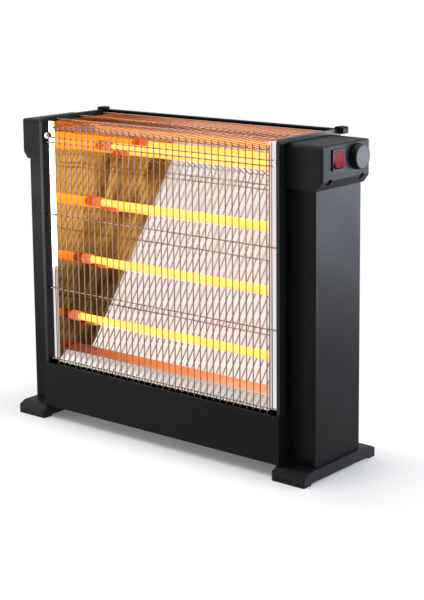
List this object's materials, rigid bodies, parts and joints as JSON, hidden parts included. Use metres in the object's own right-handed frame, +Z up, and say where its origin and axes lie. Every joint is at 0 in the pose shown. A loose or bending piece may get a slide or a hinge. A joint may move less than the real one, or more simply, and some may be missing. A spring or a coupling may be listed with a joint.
{
  "type": "electric bar heater",
  "caption": "Free-standing quartz bar heater on two feet, with polished reflectors, a wire guard over the front and top, square side columns, and a rocker switch and knob on its right cap.",
  "frame": {"origin": "on the floor under the middle of the whole width (knob included) and of the depth, which is 5.35 mm to the right of the plane midway between the feet", "axes": "+X to the right side with the controls, +Y to the back, +Z up; the guard faces -Y"},
  "size_m": [0.6256, 0.188, 0.512],
  "materials": {
    "black_plastic": "moulded, fine grain",
    "cap_plastic": "moulded, satin",
    "side_paint": "powder coat",
    "column_paint": "powder coat, satin",
    "panel_paint": "powder coat",
    "reflector": "polished sheet",
    "end_reflector": "polished sheet",
    "guard_wire": "bright wire",
    "zinc": "zinc plated",
    "black_screw": "blackened",
    "quartz": "clear quartz, lit from inside",
    "hot_coil": "glowing winding",
    "ceramic": "unglazed",
    "link_metal": "plated strip",
    "nut_brass": "turned",
    "switch_black": "polished",
    "switch_red": "translucent red",
    "knob_face": "satin, turned rim",
    "switch_body": "thermoset",
    "lead_brown": "heat-proof sleeve",
    "lead_red": "heat-proof sleeve",
    "lead_blue": "heat-proof sleeve"
  },
  "bodies": {
    "heater": {"left_foot": "black_plastic", "right_foot": "black_plastic", "cord_gland": "black_plastic", "left_top_cap": "cap_plastic", "right_control_housing": "cap_plastic", "left_side_frame": "side_paint", "right_side_frame": "side_paint", "left_column": "column_paint", "right_column": "column_paint", "front_base_panel": "panel_paint", "back_panel": "panel_paint", "base_pan": "panel_paint", "rear_top_rail": "panel_paint", "rear_corner_clips": "panel_paint", "rear_reflector": "reflector", "left_end_reflector": "end_reflector", "right_end_reflector": "end_reflector", "front_guard_wires": "guard_wire", "top_guard_wires": "guard_wire", "guard_cross_wires": "guard_wire", "top_cross_wires": "guard_wire", "guard_washers": "zinc", "guard_screws": "zinc", "selector_nut": "zinc", "cap_screws": "black_screw", "foot_screws": "black_screw", "quartz_tube_1": "quartz", "quartz_tube_2": "quartz", "quartz_tube_3": "quartz", "quartz_tube_4": "quartz", "quartz_tube_5": "quartz", "heating_coil_1": "hot_coil", "heating_coil_2": "hot_coil", "heating_coil_3": "hot_coil", "heating_coil_4": "hot_coil", "heating_coil_5": "hot_coil", "left_ceramic_ends": "ceramic", "right_ceramic_ends": "ceramic", "left_link_bar": "link_metal", "right_link_bars": "link_metal", "terminal_nuts": "nut_brass", "rocker_switch_housing": "switch_black", "selector_switch": "switch_body", "terminal_block": "switch_body", "supply_leads": "lead_brown", "switch_link_lead": "lead_brown", "selector_leads": "lead_red", "return_lead": "lead_blue"},
    "rocker": {"rocker_button": "switch_red"},
    "knob": {"selector_knob": "switch_black", "knob_face_disc": "knob_face", "selector_shaft": "zinc"}
  },
  "joints": [
    {"name": "power_rocker", "type": "hinge", "parent": "heater", "child": "rocker", "pos_m": [0.29915, -0.022, 0.477], "axis": [0, 1, 0], "range_deg": [0, 16]},
    {"name": "heat_selector", "type": "hinge", "parent": "heater", "child": "knob", "pos_m": [0.30215, 0.0275, 0.477], "axis": [-1, 0, 0], "range_deg": [0, 270]}
  ]
}
